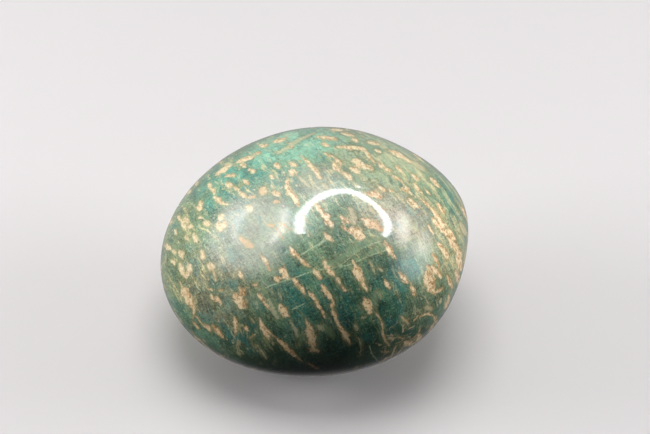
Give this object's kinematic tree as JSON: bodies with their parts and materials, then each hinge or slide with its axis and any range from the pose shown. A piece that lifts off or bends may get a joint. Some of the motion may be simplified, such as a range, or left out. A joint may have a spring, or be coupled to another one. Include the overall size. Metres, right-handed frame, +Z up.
{
  "type": "amazonite pebble",
  "caption": "Hand-sized tumbled and polished stone, a rounded egg-like pebble of green feldspar with cream flecks, resting on its worn underside.",
  "frame": {"origin": "middle of the bounding box's underside, on the flat that the stone rests on", "axes": "+Z up from the rest face, +X along the stone's length towards its raised end, +Y to its back; lengths in metres in the record and millimetres in the solids"},
  "size_m": [0.0594, 0.0518, 0.0422],
  "materials": {
    "amazonite": "polished to a wet gloss, blue-green to dark teal with cream and tan flecks in parallel streaks and a pale healed vein"
  },
  "bodies": {
    "root": {"pebble": "amazonite"}
  },
  "joints": []
}
